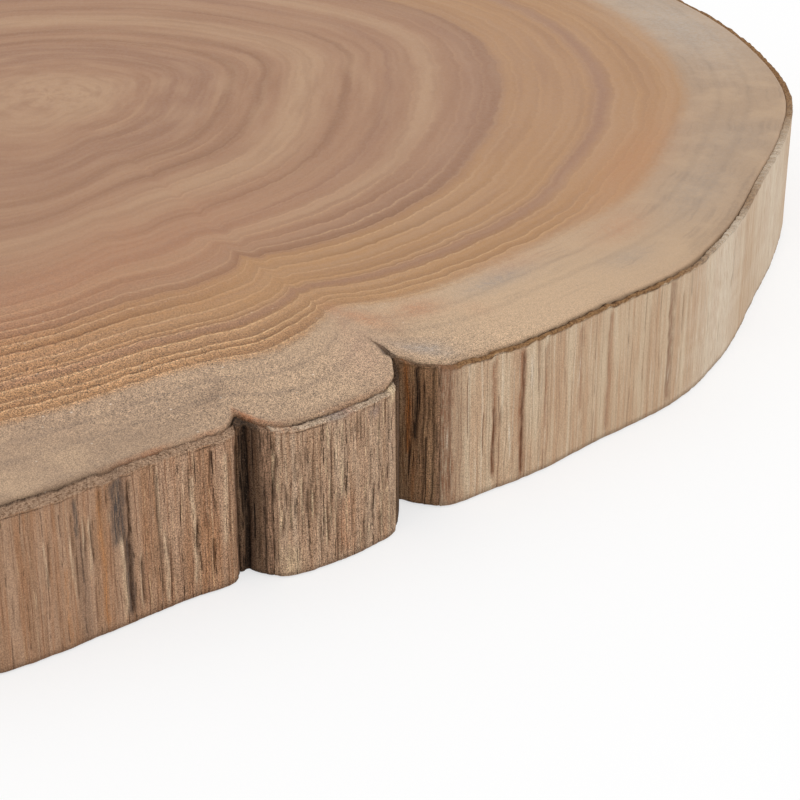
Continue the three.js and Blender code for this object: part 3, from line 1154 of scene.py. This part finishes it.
@dataclass
class BarkPiece:
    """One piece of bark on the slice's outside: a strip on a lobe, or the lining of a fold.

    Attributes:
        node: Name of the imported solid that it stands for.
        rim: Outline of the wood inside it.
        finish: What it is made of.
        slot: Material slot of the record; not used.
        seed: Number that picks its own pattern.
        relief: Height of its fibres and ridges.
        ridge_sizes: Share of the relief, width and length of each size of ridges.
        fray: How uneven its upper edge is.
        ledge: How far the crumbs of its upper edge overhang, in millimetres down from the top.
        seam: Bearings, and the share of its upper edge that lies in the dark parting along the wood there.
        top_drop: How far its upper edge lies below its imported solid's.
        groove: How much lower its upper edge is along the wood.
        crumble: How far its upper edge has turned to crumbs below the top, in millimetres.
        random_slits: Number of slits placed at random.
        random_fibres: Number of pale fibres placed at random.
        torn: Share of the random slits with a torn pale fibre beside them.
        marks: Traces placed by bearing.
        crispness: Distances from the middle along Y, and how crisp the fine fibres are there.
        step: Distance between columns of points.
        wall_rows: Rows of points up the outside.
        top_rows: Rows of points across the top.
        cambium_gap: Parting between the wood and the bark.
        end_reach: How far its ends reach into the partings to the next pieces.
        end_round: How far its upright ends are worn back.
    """

    node: str
    rim: PolarEdge
    finish: FibrousBark
    slot: str
    seed: int
    relief: float = 0.09
    ridge_sizes: tuple[tuple[float, float, float], ...] = ((1.0, 4.6, 45.0), (0.8, 1.5, 22.0), (0.6, 0.7, 10.0))
    fray: float = 0.3
    ledge: float = 0.35
    seam: Table = ((0.0, 0.35),)
    top_drop: float = -0.15
    groove: float = 0.4
    crumble: float = 0.15
    random_slits: int = 30
    random_fibres: int = 20
    torn: float = 0.4
    marks: tuple[Mark, ...] = ()
    crispness: Table = (
        (-152, 0.45), (-145, 0.6), (-140, 0.95), (-126, 1.05), (-108, 0.95), (-92, 0.5), (-70, 0.25), (-40, 0.1),
        (0, 0.15), (60, 0.7),
    )
    step: float = 0.22
    wall_rows: int = 40
    top_rows: int = 7
    cambium_gap: float = 0.3
    end_reach: float = 0.13
    end_round: float = 0.4

    def edges(self) -> tuple[Array, Array, Array, Array]:
        """Reads the piece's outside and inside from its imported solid, in equal steps along the outside.

        Returns:
            Bearings of the columns, the outside and the inside of each in plan, and the run along the outside.
        """
        bearings, radii = waist_corners(self.node)
        bearings = turned_near(bearings, float(np.degrees(np.arctan2(*np.sum(
            [np.sin(np.radians(bearings)), np.cos(np.radians(bearings))], axis=1
        )))))
        inside_reach = 0.5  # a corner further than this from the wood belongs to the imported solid's outside
        outside = radii > self.rim.at(bearings) + inside_reach
        order = np.argsort(bearings[outside])
        edge = PolarEdge(bearings[outside][order], radii[outside][order])
        fine_steps, fewest_columns = 4000, 8
        fine = np.linspace(edge.bearings[0], edge.bearings[-1], fine_steps)
        plan = self.plan(fine, edge.at(fine))
        run = np.concatenate([[0], np.cumsum(np.hypot(*np.diff(plan, axis=0).T))])
        count = max(fewest_columns, int(math.ceil(run[-1] / self.step)))
        along = np.linspace(0, run[-1], count + 1)
        columns = np.interp(along, run, fine)
        reach = np.degrees(self.end_reach / edge.radii.mean())
        columns[0], columns[-1] = columns[0] - reach, columns[-1] + reach
        inside = self.rim.at(columns) + self.cambium_gap * self.parted(columns) - drawn_in(columns)
        return columns, self.plan(columns, edge.at(columns)), self.plan(columns, inside), along

    def parted(self, bearings: Array) -> Array:
        """Share of the full parting from the wood: least where the bark holds, 1 where a dark seam shows."""
        shown, least = 0.1, 0.1  # a seam of the first share stands for a full parting
        return np.clip(read_off(self.seam, bearings) / shown, least, 1)

    @staticmethod
    def plan(bearings: Array, radii: Array) -> Array:
        """Points in plan, about the pith, from bearings and radii."""
        angle = np.radians(bearings)
        return np.stack([radii * np.cos(angle), radii * np.sin(angle)], axis=-1)

    def all_marks(self, bearings: Array) -> list[Mark]:
        """Placed marks, and slits and fibres at random places.

        Args:
            bearings: Bearings of the piece's columns.

        Returns:
            All the marks on the piece.
        """
        chance = np.random.default_rng(self.seed)
        slit_depth, fibre_depth, torn_depth = 0.3, -0.12, -0.1
        torn_beside = 0.14  # degrees from a slit to the fibre torn out of it
        highest = 0.97
        spans = ((bearings[0], bearings[-1]), (0.0, 0.85), (0.05, 0.3), (0.08, 0.18), (0.5, 1.0), (0.0, 1.0))
        marks = list(self.marks)
        for trace, count, depth in (
            (Trace.SLIT, self.random_slits, slit_depth), (Trace.FIBRE, self.random_fibres, fibre_depth)
        ):
            draws = np.stack([chance.uniform(*span, count) for span in spans], axis=1).tolist()
            for bearing, low, length, width, strength, luck in draws:
                high = min(low + length, highest)
                marks.append(Mark(trace, bearing, width, low, high, depth * strength, strength))
                if luck < self.torn and trace is Trace.SLIT:
                    marks.append(Mark(Trace.FIBRE, bearing - torn_beside, width, low, high, torn_depth, strength))
        return marks

    def mark_shape(self, mark: Mark, middle: float, run: Array, height: Array, share: Array) -> Array:
        """Where a mark lies: an upright band that sways a little and fades at its ends.

        Args:
            mark: The mark.
            middle: Its place along the outside.
            run: Place along the outside of each point.
            height: Height of each point.
            share: Share of the way up of each row.

        Returns:
            1 in the middle of the mark, and 0 away from it.
        """
        before, after = 0.03, 0.04  # how far outside and inside its ends a mark fades
        sway = sum(
            swing * noise(height / length, 0 * height, int(mark.bearing * pick))
            for swing, length, pick in ((0.25, 6.0, 97), (0.22 * mark.width, 1.3, 89))
        )
        starts = smoothstep(mark.low - before, mark.low + after, share)
        stops = smoothstep(mark.high + before, mark.high - after, share)
        flatness = 4 if mark.trace in (Trace.GREY, Trace.SHADE) else 2
        return np.exp(-np.abs((run - (middle + sway)) / mark.width) ** flatness) * (starts * stops)

    def upper_edge(self, along: Array, high: float) -> Array:
        """Height of the frayed upper edge, with chips out of it.

        Args:
            along: Place along the outside of each column.
            high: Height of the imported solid's top.

        Returns:
            The height at each column.
        """
        chip_length, fray_length = 4.0, 1.3
        chip = smoothstep(0.35, 0.8, noise(along / chip_length, 0 * along, self.seed + 1))
        ups = noise(along / fray_length, 0 * along, self.seed)
        return high - self.top_drop + self.fray * (0.5 * ups - 0.9 * chip)

    def section(self) -> tuple[Array, Array, Array, Array]:
        """Rows of the closed section: under the foot, up the outside, over the top and down inside.

        Returns:
            For each row its share of the way from the inside to the outside, its share of the way up, 1 if it lies on
            the outside, and 1 if it lies on the top.
        """
        crowding = 1.8  # above 1, the rows of the outside lie closer together near the top
        rise = 1 - (1 - np.linspace(0, 1, self.wall_rows)) ** crowding
        depth = np.concatenate([[0.0, 0.5], np.ones(self.wall_rows), np.linspace(1, 0, self.top_rows + 1)[1:], [0.0]])
        share = np.concatenate([[0.0, 0.0], rise, np.ones(self.top_rows), [0.5]])
        wall = np.concatenate([[0.0, 0.0], np.ones(self.wall_rows), np.zeros(self.top_rows + 1)])
        over = np.concatenate([np.zeros(2 + self.wall_rows), np.ones(self.top_rows), [0.0]])
        return depth, share, wall, over

    def build(self) -> bpy.types.Object:
        """Carries a closed section along the piece: under its foot, up the outside, over the top and down inside.

        The outside is moved out by ridges and fibres, which are noise stretched along the height, and in by slits.

        Returns:
            The piece's object.
        """
        bearings, outside, inside, along = self.edges()
        low, high = (corner[2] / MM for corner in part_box(self.node))
        columns = len(along)
        tangent = np.gradient(outside, axis=0)
        normal = np.stack([tangent[:, 1], -tangent[:, 0]], axis=-1)
        normal /= np.linalg.norm(normal, axis=1, keepdims=True)

        top = self.upper_edge(along, high)
        depth, share, wall, over = self.section()
        height = low + share[:, None] * (top - low)
        run = np.broadcast_to(along, height.shape)
        ridges = sum(
            share_of * noise(run / width, height / length, self.seed + index)
            for index, (share_of, width, length) in enumerate(self.ridge_sizes, 2)
        )
        under_top = top - height
        above_foot = height - low
        to_end = np.minimum(run, along[-1] - run)
        lip = 0.06  # how far the crumbs of the ledge stand out
        proud = self.relief * ridges + lip * smoothstep(self.ledge + 0.1, self.ledge - 0.05, under_top)
        # Wear along the upper edge, the foot and the ends: how far in it reaches and how much it takes off.
        wear = ((under_top, 0.25, 0.12), (above_foot, 0.3, 0.1), (to_end, 1.2, self.end_round))
        worn = sum(amount * np.clip(1 - distance / reach, 0, 1) ** 2 for distance, reach, amount in wear)

        # Shadows: in the hollow under the ledge, at the foot, and in the parting along the wood.
        traces = {trace.value: np.zeros_like(height) for trace in Trace}
        uneven = noise(run / 1.6, 0 * run, self.seed + 12) + 0.6 * noise(run / 0.5, 0 * run, self.seed + 13)
        below_ledge, hollow_half, foot_strength, foot_reach, blur = 0.08, 0.13, 0.3, 0.35, 0.12
        hollow = np.exp(-(((under_top - self.ledge - below_ledge) / hollow_half) ** 2))
        hollow = hollow * np.clip(0.55 + 0.5 * uneven, 0, 1)
        at_foot = foot_strength * np.exp(-((above_foot / foot_reach) ** 2))
        parting = read_off(self.seam, bearings) * (1 + 0.35 * uneven[0])
        along_wood = smoothstep(blur, -blur, depth[:, None] - parting) * np.clip(4 * parting, 0, 1) * over[:, None]
        traces[Trace.SHADE.value] = np.maximum(wall[:, None] * np.maximum(hollow, at_foot), along_wood)
        for mark in self.all_marks(bearings):
            middle = float(np.interp(mark.bearing, bearings, along))
            bell = self.mark_shape(mark, middle, run, height, share[:, None])
            proud -= mark.depth * bell
            traces[mark.trace.value] = np.maximum(traces[mark.trace.value], mark.strength * bell)

        # The outside and the top's outer rows move out or in, and the top's inner rows shrink back from the wood.
        crumb_height, crumb_size, shrinkage, groove_share = 0.12, 0.45, 0.12, 0.45
        outwards = proud - worn
        shrunk = shrinkage * (1 + noise(along / 1.1, 0 * along, self.seed + 8)) * self.parted(bearings)
        plan = inside + depth[:, None, None] * (outside - inside)
        for moved in (
            wall[:, None] * outwards,
            (over * depth)[:, None] * outwards[1 + self.wall_rows],
            (over * (1 - depth))[:, None] * shrunk,
        ):
            plan = plan + moved[..., None] * normal
        grain = crumb_height * noise(run / crumb_size, depth[:, None] * 5 + 0 * run, self.seed + 7)
        groove = self.groove * (over * smoothstep(groove_share, 0.0, depth))[:, None]
        height = height + over[:, None] * grain - groove
        points = np.concatenate([plan + PITH, height[..., None]], axis=-1)

        rows = len(share)
        faces = grid_quads(rows, columns, closed_rows=True).tolist()
        start = np.arange(rows) * columns
        faces += [start[::-1].tolist(), (start + columns - 1).tolist()]
        ragged = 1 + 0.6 * noise(run / 1.6, height / 3, self.seed + 9) + 0.5 * noise(run / 0.5, height, self.seed)
        ragged = np.maximum(self.crumble * ragged, 1e-3)  # depth of the crumbs, never quite nothing
        traces["crumbled"] = np.maximum(over[:, None] + 0 * run, smoothstep(1.15, 0.6, under_top / ragged))
        traces["crisp"] = read_off(self.crispness, points[..., 1])
        apart = 40  # millimetres of pattern between one seed and the next
        uv = np.stack([run + apart * self.seed, height], axis=-1) * MM
        piece = make_piece(
            f"{self.node}_rough", points.reshape(-1, 3), faces, {"surface": uv.reshape(-1, 2)}, traces
        )
        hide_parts(self.node)
        return piece

    def dress(self, piece: bpy.types.Object) -> None:
        """Gives the piece its bark."""
        piece.data.materials.append(self.finish.material())


@dataclass
class Studio:
    """White table, soft light from all round, and the camera.

    Attributes:
        floor_radius: Half the table's size.
        dome: Strength of the even light from all round.
        key_strength: Strength of the soft lamp.
        key_spread: How wide that lamp is seen from the board, in degrees.
        key_from: Direction that its light comes from.
        lift: Share of the table's white that doesn't depend on light, which keeps the shadow faint.
        lens: Focal length of the camera on a 36 mm sensor.
        camera_place: Where the camera stands.
        camera_pitch: How far the camera looks down, in degrees.
    """

    floor_radius: float = 4000.0
    dome: float = 0.8
    key_strength: float = 0.76
    key_spread: float = 50.0
    key_from: tuple[float, float, float] = (0.45, -0.35, 0.83)
    lift: float = 0.6
    lens: float = 97.155
    camera_place: tuple[float, float, float] = (73.038, -409.577, 174.25)
    camera_pitch: float = 27.42

    def build(self) -> bpy.types.Object:
        """Makes the table, the lights and the camera.

        Returns:
            The table.
        """
        side = self.floor_radius * MM
        mesh = bpy.data.meshes.new("table")
        mesh.from_pydata([(-side, -side, 0), (side, -side, 0), (side, side, 0), (-side, side, 0)], [], [(0, 1, 2, 3)])
        table = bpy.data.objects.new("table", mesh)
        lamp = bpy.data.lights.new("soft_key", "SUN")
        lamp.energy = self.key_strength
        lamp.angle = math.radians(self.key_spread)
        key = bpy.data.objects.new("soft_key", lamp)
        key.location = self.key_from
        key.rotation_euler = key.location.to_track_quat("Z", "Y").to_euler()
        view = bpy.data.cameras.new("camera")
        view.lens = self.lens
        view.clip_start = 0.01
        camera = bpy.data.objects.new("camera", view)
        camera.location = [place * MM for place in self.camera_place]
        camera.rotation_euler = (math.radians(90 - self.camera_pitch), 0, 0)
        for thing in (table, key, camera):
            bpy.context.scene.collection.objects.link(thing)
        bpy.context.scene.camera = camera
        bpy.context.scene.view_settings.view_transform = "Standard"
        return table

    def dress(self, table: bpy.types.Object) -> None:
        """Paints the table and the surroundings white.

        Seen straight on, part of the table's white doesn't depend on the light, so the board's shadow stays faint.

        Args:
            table: The table's object.
        """
        material, add = new_material("matt_white_table")
        ray = add("LightPath").node.outputs
        seen = add("Math", [ray["Is Camera Ray"], ray["Is Glossy Ray"]], operation="MAXIMUM")
        seen = add("Math", [seen, ray["Is Transmission Ray"]], operation="MAXIMUM")
        plain, bright = (add("BsdfDiffuse", {"Color": linear(white)}) for white in ("#F2F2F2", "#FFFFFF"))
        glow = add("Emission", {"Color": linear("#FFFFFF"), "Strength": 1.0})
        lifted = add("MixShader", [self.lift, bright, glow])
        add("OutputMaterial", {"Surface": add("MixShader", [seen, plain, lifted])})
        table.data.materials.append(material)

        world = bpy.data.worlds.new("white_room")
        bpy.context.scene.world = world
        world.use_nodes = True
        world.node_tree.nodes.clear()
        add = partial(add_node, world.node_tree)
        ray = add("LightPath").node.outputs
        seen = add("Math", [ray["Is Camera Ray"], ray["Is Glossy Ray"]], operation="MAXIMUM")
        strength = add("MapRange", [seen, 0.0, 1.0, self.dome, 1.0])
        light = add("Background", {"Color": linear("#FFFFFF"), "Strength": strength})
        add("OutputWorld", {"Surface": light})


# Inner bark of the left lobe: red-brown, with orange streaks, dark slits and a pale crumbly edge.
RED_BROWN_BARK = FibrousBark(
    name="dry_inner_bark_red_brown", mid="#9D7A5F", pale="#B39278", warm="#A06F4C", edge="#AA8C73", edge_dark="#6E523D",
    grey="#4C4440", fibre="#CDB294", resin="#AE784C", warm_strength=0.4,
    lines=(
        Lines("#6C4632", 1.0, 0.11, 9.0, 0.55, 0.75),
        Lines("#CBA985", 2.2, 0.15, 6.0, 0.4, 0.6, sunk=-0.6),
        Lines("#2E1C12", 3.2, 0.15, 4.0, 0.4, 0.95),
    ),
)
# Inner bark of the front lobe: greyer brown, with close short slits and little band contrast.
BROWN_BARK = FibrousBark(
    name="dry_inner_bark_brown", mid="#AA8A70", pale="#BFA58C", warm="#A37B5A", edge="#BFA890", edge_dark="#7D6450",
    grey="#70676A", warm_strength=0.3, band_strength=0.5, fibre="#D5BC98",
    lines=(
        Lines("#664734", 1.0, 0.11, 6.0, 0.45, 0.8),
        Lines("#CDB192", 1.9, 0.14, 5.0, 0.45, 0.55, sunk=-0.6),
        Lines("#2C1B0D", 2.4, 0.13, 3.5, 0.35, 0.95),
    ),
)
# Inner bark of the right lobe: pale and smooth, with long soft stripes and few dark ones.
BEIGE_BARK = FibrousBark(
    name="dry_inner_bark_beige", mid="#BE9F82", pale="#D2BEA2", warm="#B38A6A", edge="#98744F", edge_dark="#5F4029",
    grey="#87624A", resin="#8E5F42", slit="#5A3826", fibre="#DED0BC", band_strength=0.6, warm_strength=0.35,
    speck_strength=0.2,
    lines=(
        Lines("#94735A", 1.0, 0.2, 26.0, 0.55, 0.5),
        Lines("#E0D0B8", 1.7, 0.3, 22.0, 0.5, 0.4, sunk=-0.4),
        Lines("#6E4B35", 3.8, 0.22, 12.0, 0.4, 0.65),
    ),
)
# Old bark in the folds: near black in its furrows, dusty and rough.
OLD_BARK = FibrousBark(
    name="weathered_old_bark", mid="#5A4434", pale="#785F4A", warm="#684A34", edge="#5A4535", edge_dark="#20160F",
    slit="#0E0805", grey="#97775F", fibre="#7C6450", shade="#20160F", resin="#9C5F36", grit="#8C7662",
    bump=0.8, dust=0.55,
    lines=(
        Lines("#150D08", 1.1, 0.3, 8.0, 0.5, 0.85),
        Lines("#7A6250", 2.4, 0.14, 4.0, 0.35, 0.6, sunk=-0.6),
    ),
)
# Old bark beside the crack: rust-brown, furrowed, with dark slits.
RUSTY_BARK = FibrousBark(
    name="rust_brown_old_bark", mid="#8E6B4E", pale="#A78565", warm="#97653E", edge="#8A6C53", edge_dark="#4A3424",
    slit="#1E130C", grey="#927158", fibre="#B08C68", shade="#20150F", resin="#A0612F", bump=0.8, dust=0.25,
    lines=(
        Lines("#2C1B10", 1.2, 0.2, 10.0, 0.5, 0.8),
        Lines("#B08A62", 2.0, 0.18, 7.0, 0.4, 0.6, sunk=-0.6),
    ),
)
# Old bark under the overhanging sapwood beside the crack: less dusty, with an even dark edge.
SHELTERED_BARK = replace(OLD_BARK, name="old_bark_under_sapwood", edge_dark="#2E2017", dust=0.3)


def bark_pieces(rim: PolarEdge) -> list[BarkPiece]:
    """Lists the pieces of bark with what sets each apart.

    Args:
        rim: Outline of the wood.

    Returns:
        The pieces, counter-clockwise from the front-left lobe, and then the fold linings.
    """
    front_left = listed(Mark, {
        Trace.GREY: (
            (-78.38, 1.3, 0.55, 0.99, 0.2, 1), (-78.05, 0.75, 0.05, 0.6, 0.15, 0.9),
            (-80.4, 1, 0.02, 0.72, 0, 0.35), (-80.6, 0.4, 0.7, 0.97, 0.1, 0.85),
        ),
        Trace.SLIT: (
            (-77.92, 0.3, 0.05, 0.95, 0.35, 1), (-79.85, 0.18, 0.5, 0.78, 0.3, 0.9),
            (-77.3, 0.26, 0.1, 0.42, 0.4, 1), (-76.32, 0.18, 0.1, 0.92, 0.3, 0.85),
            (-75.85, 0.14, 0.05, 0.5, 0.3, 0.8), (-74.2, 0.26, 0.3, 0.52, 0.35, 1),
            (-74.5, 0.15, 0.68, 0.9, 0.3, 0.9), (-73.3, 0.18, 0.72, 0.97, 0.3, 0.9),
            (-72.3, 0.14, 0.35, 0.9, 0.2, 0.8),
        ),
        Trace.FIBRE: (
            (-78.4, 0.38, 0.08, 0.6, -0.1, 0.8), (-79.95, 0.28, 0.45, 0.8, -0.1, 0.7),
            (-77.42, 0.2, 0.08, 0.45, -0.1, 0.7), (-76.05, 0.4, 0.05, 0.52, -0.1, 0.8),
            (-76.25, 0.25, 0.5, 0.92, -0.1, 0.6), (-74.42, 0.34, 0.1, 0.82, -0.1, 0.85),
            (-72.5, 0.4, 0.3, 0.92, -0.1, 0.7),
        ),
        Trace.RESIN: (
            (-79.36, 0.5, 0.05, 0.97, 0, 0.8), (-81.2, 0.4, 0.02, 0.55, 0, 0.6), (-73.6, 1.8, 0, 0.5, 0, 0.25),
        ),
        Trace.SHADE: ((-71.6, 0.9, 0, 0.93, 0.1, 0.85),),
    })
    front = listed(Mark, {
        Trace.SHADE: ((-69.75, 0.2, 0.1, 0.95, 0.1, 0.5),),
        Trace.FIBRE: ((-69, 1.6, 0, 0.2, 0, 0.45), (-61.7, 1.2, 0.93, 1.2, 0, 0.8)),
        Trace.GREY: ((-65.6, 2.4, 0.99, 1.2, 0, 0.8), (-63.3, 1.2, 0.9, 0.97, 0, 0.5)),
        Trace.RESIN: (
            (-69.2, 1.4, 0.99, 1.2, 0, 0.5), (-65, 1.5, 0.99, 1.2, 0, 0.35), (-65.4, 1.5, 0.05, 0.45, 0, 0.35),
        ),
    })
    right = listed(Mark, {
        Trace.GREY: (
            (-57.5, 1.9, 0, 1.2, 0, 0.95), (-56.9, 2.2, 0, 1, 0, 0.45), (-37.3, 0.8, 0.05, 0.98, 0.2, 0.85),
        ),
        Trace.SLIT: (
            (-57.2, 0.16, 0.1, 0.95, 0.1, 0.6), (-56.6, 0.14, 0.3, 0.95, 0.1, 0.5),
            (-53.75, 0.22, 0.1, 0.6, 0.2, 0.9), (-51.5, 0.3, 0.05, 0.95, 0.2, 0.9),
        ),
        Trace.RESIN: (
            (-53.75, 0.55, 0.1, 0.95, 0.2, 0.85), (-51.6, 0.7, 0.02, 0.97, 0.15, 0.9),
            (-49.5, 0.3, 0.3, 0.95, 0.1, 0.6), (-46.2, 0.4, 0.3, 0.95, 0.1, 0.7),
            (-43.4, 0.6, 0.05, 0.95, 0.1, 0.6),
        ),
        Trace.FIBRE: ((-29, 13, 0, 1.2, 0, 0.8), (-12, 22, 0, 1.2, 0, 0.75)),
    })
    strips = [
        BarkPiece("inner_bark_front_left", rim, RED_BROWN_BARK, "inner_bark", 3, fray=0.3, random_slits=110,
                  random_fibres=16, torn=0.25, marks=front_left,
                  groove=0.1, seam=((-84, 0.2), (-80.5, 0.2), (-79.5, 0.17), (-76, 0.1), (-72, 0.14))),
        BarkPiece("inner_bark_front", rim, BROWN_BARK, "inner_bark", 5, fray=0.12, random_slits=120, random_fibres=14,
                  torn=0.15, marks=front, groove=0.15, seam=((-69.8, 0.2), (-61.2, 0.3))),
        BarkPiece("inner_bark_right", rim, BEIGE_BARK, "inner_bark", 7, relief=0.07, fray=0.3, top_drop=0.1, groove=0.1,
                  crumble=0.4, end_round=0.05, random_slits=24, random_fibres=30, marks=right,
                  seam=((-57.6, 0.0), (-55, 0.06), (-53, 0.1), (-51.5, 0.35), (-50, 0.45), (-45, 0.42), (-42, 0.25),
                        (-33, 0.16), (-28, 0.07), (-20, 0.02), (-5, 0.0))),
        BarkPiece("inner_bark_rear_right", rim, BEIGE_BARK, "inner_bark", 9, random_slits=60),
        BarkPiece("inner_bark_rear_left", rim, BROWN_BARK, "inner_bark", 11, random_slits=120),
        BarkPiece("inner_bark_left", rim, RED_BROWN_BARK, "inner_bark", 13, random_slits=120),
    ]
    shallow = listed(Mark, {
        Trace.GREY: ((-69.6, 1.5, 0, 1.2, 0, 1),),
        Trace.SHADE: ((-71, 0.5, 0, 1, 0.3, 1),),
        Trace.SLIT: ((-70.2, 0.2, 0, 0.45, 0.2, 0.9),),
    })
    deep = listed(Mark, {
        Trace.RESIN: ((-59.2, 0.5, 0.35, 1, 0, 1),),
        Trace.SHADE: ((-58.85, 0.45, 0.45, 1, 0.2, 1),),
        Trace.SLIT: ((-58.55, 0.2, 0, 0.9, 0.2, 0.8), (-58.1, 0.18, 0, 1, 0.2, 1)),
        Trace.GREY: ((-57.75, 0.55, 0, 1.2, 0, 1),),
    })
    linings = [
        BarkPiece(f"fold_bark_{name}", rim, finish, "old_bark", seed, relief=0.16, fray=0.3, random_slits=6,
                  random_fibres=1, marks=marks)
        for name, finish, seed, marks in (
            ("front_shallow", OLD_BARK, 21, shallow), ("right_rear", OLD_BARK, 24, ()), ("rear", OLD_BARK, 25, ()),
            ("left_rear", RUSTY_BARK, 26, ()), ("left_front", OLD_BARK, 27, ()),
        )
    ]
    linings += [
        BarkPiece("fold_bark_front_deep_1", rim, SHELTERED_BARK, "old_bark", 22, fray=0.05, top_drop=0.3, groove=0.0,
                  cambium_gap=0.02, end_round=0.1, random_slits=4, random_fibres=0, seam=((0.0, 0.0),)),
        BarkPiece("fold_bark_front_deep_2", rim, RUSTY_BARK, "old_bark", 23, relief=0.14, fray=0.2, end_round=0.05,
                  random_slits=8, random_fibres=2, marks=deep, seam=((0.0, 0.15),)),
    ]
    return strips + linings


def main() -> None:
    """Builds the studio, the slab and the bark, and logs each piece."""
    logging.basicConfig(level=logging.INFO)
    studio = Studio()
    studio.dress(studio.build())
    rim = slab_rim()
    for part in (Slab(rim), *bark_pieces(rim)):
        piece = part.build()
        part.dress(piece)
        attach(piece, "root")
        LOG.info("%s: %d faces", piece.name, len(piece.data.polygons))


if __name__ == "__main__":
    main()
